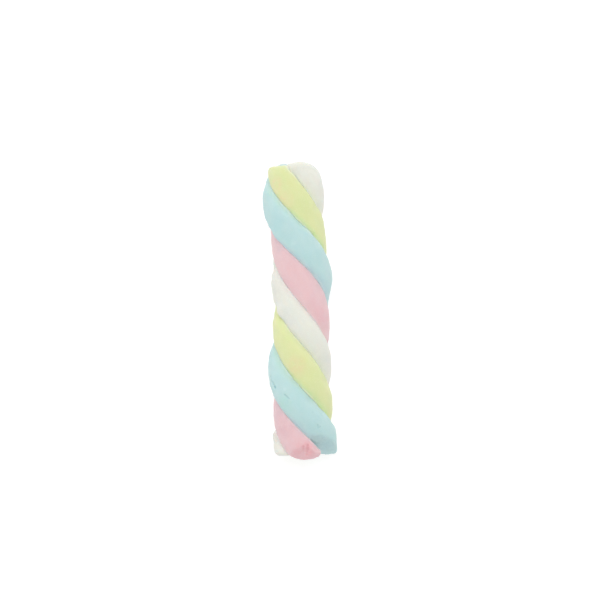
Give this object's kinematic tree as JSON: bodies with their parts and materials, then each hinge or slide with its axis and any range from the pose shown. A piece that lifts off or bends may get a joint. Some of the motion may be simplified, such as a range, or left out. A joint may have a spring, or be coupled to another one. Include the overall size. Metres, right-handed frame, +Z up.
{
  "type": "marshmallow twist",
  "caption": "Twisted marshmallow stick lying down: soft round strands of white, yellow, blue and pink marshmallow, wound left-handed round each other and cut to length.",
  "frame": {"origin": "middle of the stick on the surface it lies on: the centre of the bounding box's underside", "axes": "+Y along the stick towards the end where the white strand is uppermost, +Z up, +X to the right of someone who looks down on it with +Y ahead"},
  "size_m": [0.026, 0.1138, 0.0239],
  "materials": {
    "white_marshmallow": "soft matt marshmallow, creamy white, powdery",
    "yellow_marshmallow": "soft matt marshmallow, pale lemon yellow, powdery",
    "blue_marshmallow": "soft matt marshmallow, pale sky blue, powdery",
    "pink_marshmallow": "soft matt marshmallow, pale rose pink, powdery"
  },
  "bodies": {
    "root": {"white_strand": "white_marshmallow", "yellow_strand": "yellow_marshmallow", "blue_strand": "blue_marshmallow", "pink_strand": "pink_marshmallow"}
  },
  "joints": []
}
